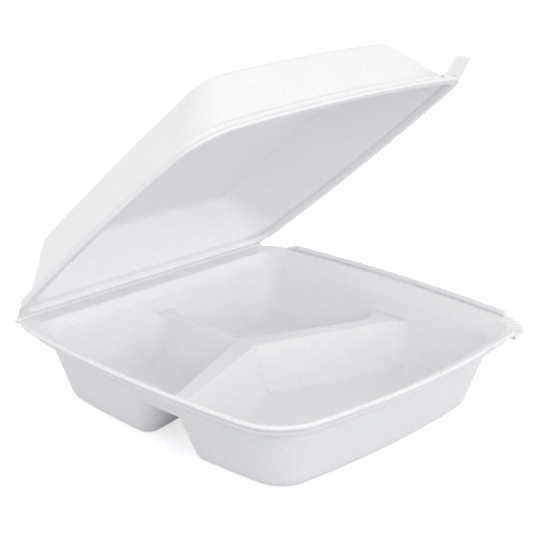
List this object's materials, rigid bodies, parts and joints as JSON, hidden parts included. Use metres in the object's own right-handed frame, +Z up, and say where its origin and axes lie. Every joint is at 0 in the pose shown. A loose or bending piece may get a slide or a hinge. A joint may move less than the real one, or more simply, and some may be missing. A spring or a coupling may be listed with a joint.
{
  "type": "hinged-lid takeaway container",
  "caption": "White foam takeaway box with a divided tray, a hinged domed lid, a lift tab and a front rim lock.",
  "frame": {"origin": "on the surface it stands on, under the middle of the tray", "axes": "+Z up, -Y towards the front that opens, +Y towards the hinge, +X to the right seen from the front"},
  "size_m": [0.235, 0.2393, 0.2106],
  "materials": {
    "foam_tray": "white expanded polystyrene sheet, satin skin with fine cell grain",
    "foam_lid": "white expanded polystyrene sheet, satin skin with fine cell grain"
  },
  "bodies": {
    "tray": {"tray": "foam_tray"},
    "lid": {"lid": "foam_lid"}
  },
  "joints": [
    {"name": "lid_hinge", "type": "hinge", "parent": "tray", "child": "lid", "pos_m": [0, 0.1094, 0.0474], "axis": [-1, 0, 0], "range_deg": [-41, 139]}
  ]
}
